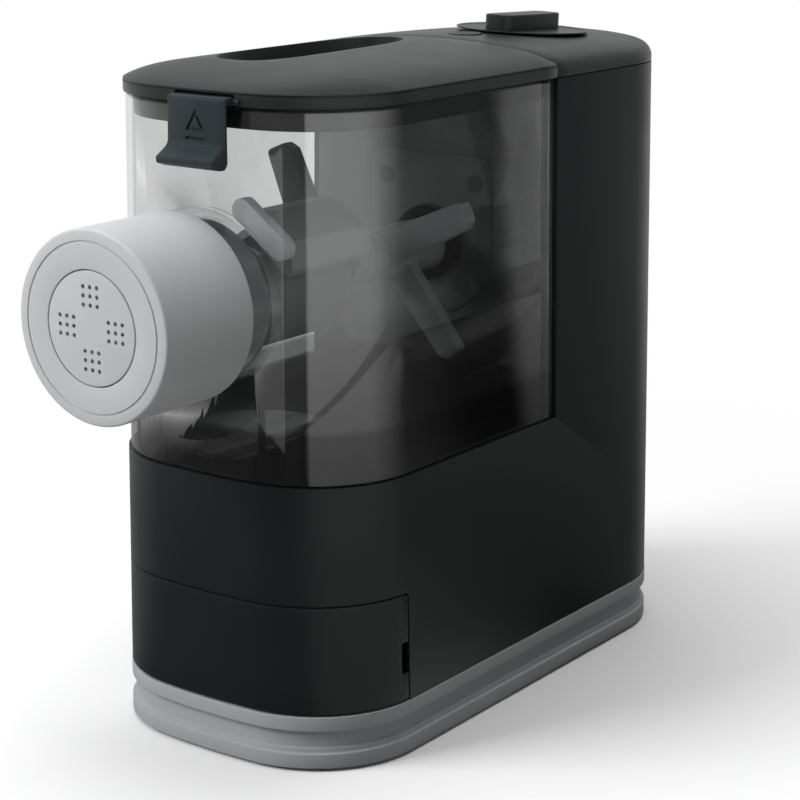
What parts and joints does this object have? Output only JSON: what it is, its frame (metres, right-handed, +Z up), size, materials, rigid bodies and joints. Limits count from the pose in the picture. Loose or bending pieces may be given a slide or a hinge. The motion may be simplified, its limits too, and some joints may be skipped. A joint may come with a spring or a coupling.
{
  "type": "electric pasta maker",
  "caption": "Countertop electric pasta maker: clear kneading chamber with screw extruder and locking ring in front, gear drive in a tower behind, storage drawer below.",
  "frame": {"origin": "under the middle of the overall length and width, in the plane the feet stand on", "axes": "+Z up, the locking ring faces -Y, +X to the right when the machine is seen from its front"},
  "size_m": [0.135, 0.325, 0.2806],
  "materials": {
    "plinth_grey": "satin",
    "black_shell": "satin",
    "inner_black": "matte",
    "rubber": "matte",
    "steel": "brushed",
    "magnet": "matte",
    "brass": "machined",
    "gearbox_grey": "matte",
    "acetal": "satin",
    "board": "satin",
    "components": "gloss",
    "clear": "polished, clear",
    "kneader_grey": "satin",
    "tube_grey": "satin",
    "cap_grey": "satin"
  },
  "bodies": {
    "base": {"plinth": "plinth_grey", "base_plate": "inner_black", "rubber_feet": "rubber", "base_screws": "steel", "housing": "black_shell", "drawer_bay": "inner_black", "tower_panel": "black_shell", "panel_plugs": "inner_black", "panel_screws": "steel", "shaft_seal": "rubber", "interlock_sensor": "inner_black", "tower_cap": "black_shell", "gearbox_case": "gearbox_grey", "gearbox_cover": "gearbox_grey", "cover_screws": "steel", "idler_pins": "steel", "shaft_bearings": "steel", "motor_can": "steel", "motor_magnets": "magnet", "motor_end_bell": "inner_black", "motor_bushes": "brass", "motor_cradle": "inner_black", "power_board": "board", "power_parts": "components", "control_board": "board", "encoder_body": "inner_black", "start_switch": "inner_black", "cord_gland": "rubber"},
    "rotor": {"rotor_shaft": "steel", "rotor_core": "steel", "rotor_windings": "brass", "motor_pinion": "brass", "cooling_fan": "inner_black"},
    "first_stage": {"first_gear": "acetal"},
    "second_stage": {"second_gear": "acetal"},
    "output": {"output_gear": "steel", "drive_shaft": "steel"},
    "knob": {"knob_disc": "black_shell", "knob_grip": "black_shell", "knob_shaft": "steel"},
    "button": {"start_button": "black_shell"},
    "drawer": {"drawer_front": "black_shell", "drawer_tray": "inner_black", "stored_discs": "cap_grey"},
    "chamber": {"mixing_chamber": "clear", "chamber_seal": "rubber"},
    "kneader": {"kneading_bar": "kneader_grey", "auger_screw": "kneader_grey"},
    "extruder": {"extrusion_tube": "tube_grey", "shaping_disc": "cap_grey"},
    "ring": {"locking_ring": "cap_grey"},
    "cover": {"lid": "black_shell", "lid_gasket": "rubber", "latch_pin": "steel"},
    "latch": {"lid_latch": "black_shell"}
  },
  "joints": [
    {"name": "drive_spin", "type": "hinge", "parent": "base", "child": "output", "pos_m": [0, 0, 0.185], "axis": [0, 1, 0], "continuous": true},
    {"name": "second_gear_spin", "type": "hinge", "parent": "base", "child": "second_stage", "pos_m": [0, 0, 0.14], "axis": [0, 1, 0], "continuous": true},
    {"name": "first_gear_spin", "type": "hinge", "parent": "base", "child": "first_stage", "pos_m": [0, 0, 0.09625], "axis": [0, 1, 0], "continuous": true},
    {"name": "rotor_spin", "type": "hinge", "parent": "base", "child": "rotor", "pos_m": [0, 0, 0.06025], "axis": [0, 1, 0], "continuous": true},
    {"name": "knob_turn", "type": "hinge", "parent": "base", "child": "knob", "pos_m": [0.0072, 0.109, 0.27243], "axis": [0.0259, 0.0361, 0.999], "range_deg": [-60, 60]},
    {"name": "button_press", "type": "slide", "parent": "base", "child": "button", "axis": [0, 0, -1], "range_m": [0, 0.0012], "stiffness_N_per_m": 900, "springref_m": -0.001},
    {"name": "drawer_slide", "type": "slide", "parent": "base", "child": "drawer", "axis": [0, -1, 0], "range_m": [0, 0.12]},
    {"name": "chamber_slide", "type": "slide", "parent": "base", "child": "chamber", "axis": [0, -1, 0], "range_m": [0, 0.16]},
    {"name": "kneader_spin", "type": "hinge", "parent": "chamber", "child": "kneader", "pos_m": [0, 0, 0.185], "axis": [0, 1, 0], "continuous": true},
    {"name": "extruder_slide", "type": "slide", "parent": "chamber", "child": "extruder", "axis": [0, -1, 0], "range_m": [0, 0.105]},
    {"name": "ring_turn", "type": "hinge", "parent": "extruder", "child": "ring", "pos_m": [0, 0, 0.185], "axis": [0, -1, 0], "range_deg": [0, 60]},
    {"name": "lid_lift", "type": "slide", "parent": "chamber", "child": "cover", "axis": [0, 0, 1], "range_m": [0, 0.06]},
    {"name": "latch_swing", "type": "hinge", "parent": "cover", "child": "latch", "pos_m": [0.003, -0.1009, 0.2619], "axis": [-1, 0, 0], "range_deg": [0, 25], "stiffness_Nm_per_rad": 0.15, "springref_deg": -5.73}
  ],
  "couplings": [
    {"joint": "second_gear_spin", "follows": "drive_spin", "ratio": -4},
    {"joint": "first_gear_spin", "follows": "drive_spin", "ratio": 16},
    {"joint": "rotor_spin", "follows": "drive_spin", "ratio": -80},
    {"joint": "kneader_spin", "follows": "drive_spin", "ratio": 1}
  ]
}
